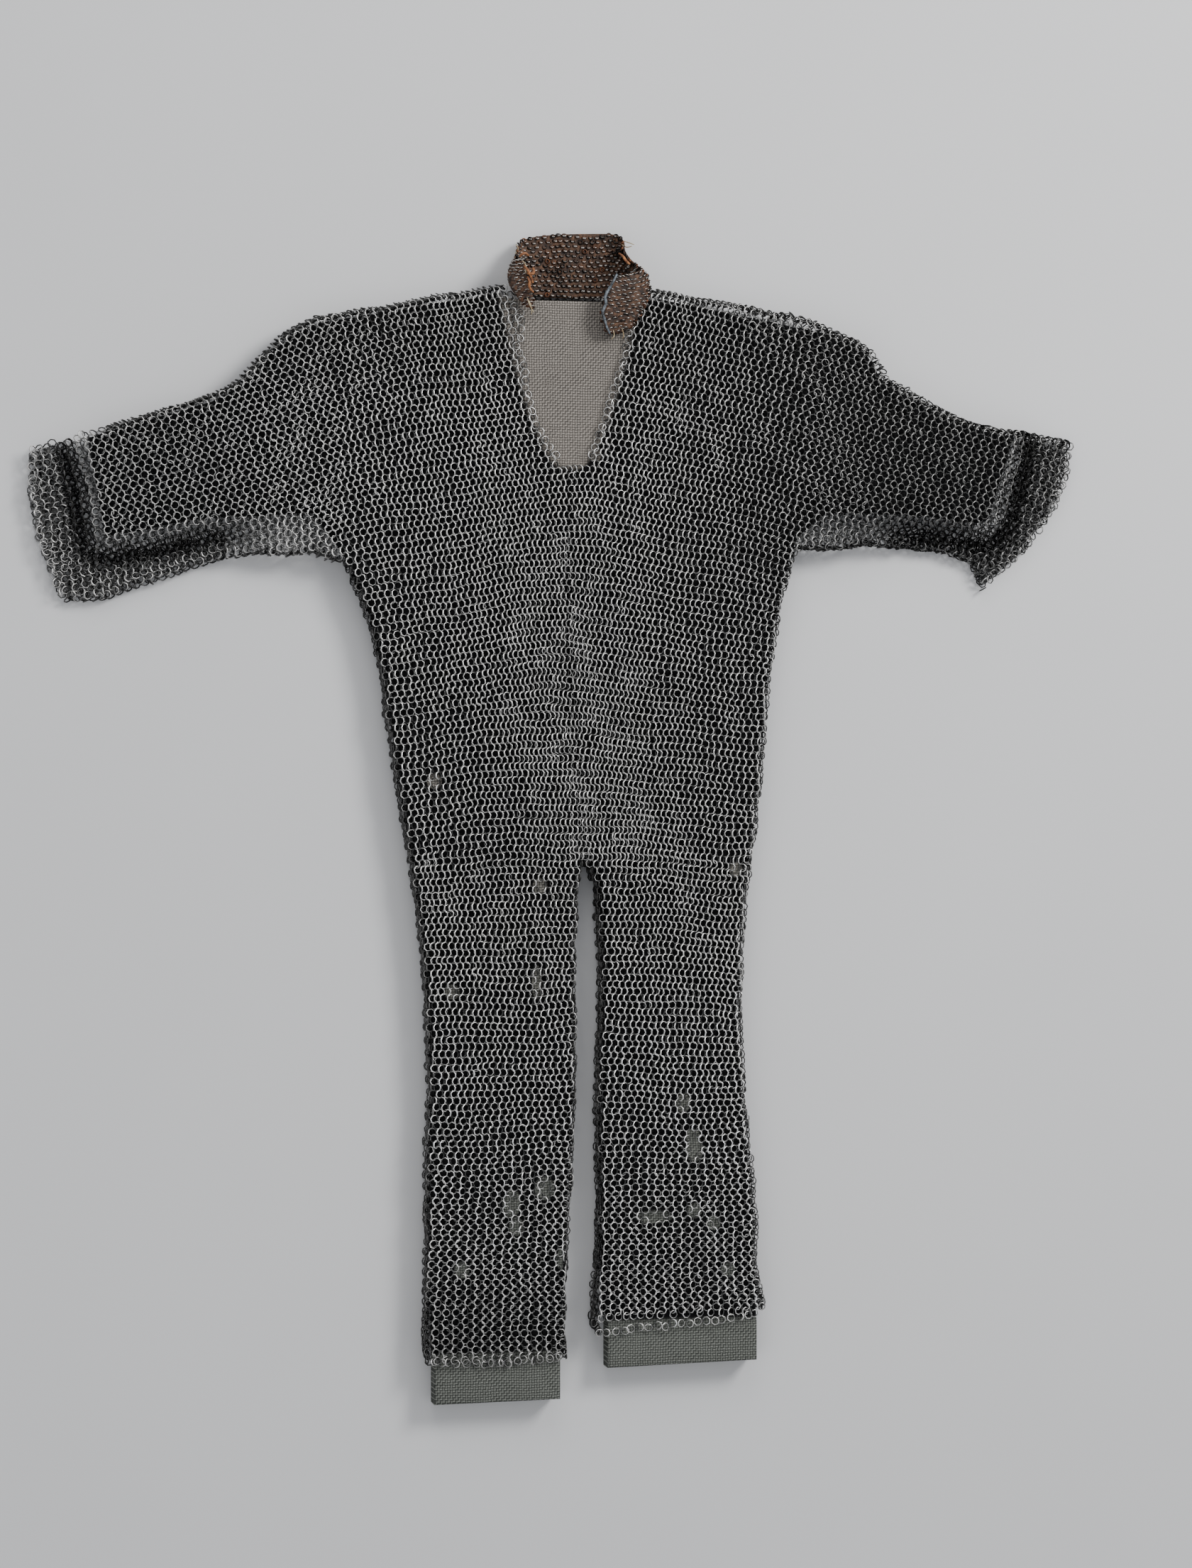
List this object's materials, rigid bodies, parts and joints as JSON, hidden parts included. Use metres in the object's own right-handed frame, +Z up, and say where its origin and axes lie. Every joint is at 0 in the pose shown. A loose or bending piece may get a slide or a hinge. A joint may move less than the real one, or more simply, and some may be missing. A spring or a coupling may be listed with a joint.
{
  "type": "chain mail suit on a linen-covered display board",
  "caption": "Mail shirt and trousers woven in one, with short wide sleeves, a V neck and a laced standing collar, laid flat over a board covered in plain linen.",
  "frame": {"origin": "middle of the footprint, on the surface the suit lies on", "axes": "+Y from the leg ends to the collar, +Z up out of the front of the suit, +X towards the wearer's left sleeve"},
  "size_m": [1.2012, 1.314, 0.0522],
  "materials": {
    "mail": "worn grey steel rings, tarnished dark between them",
    "collar_mail": "rust-brown rings packed tight and laced with old leather",
    "linen": "coarse plain-weave linen, grey-beige"
  },
  "bodies": {
    "root": {"display_board": "linen", "shirt_back": "mail", "shirt_front_right": "mail", "shirt_front_left": "mail", "right_sleeve": "mail", "left_sleeve": "mail", "right_leg": "mail", "left_leg": "mail", "collar": "collar_mail"}
  },
  "joints": []
}
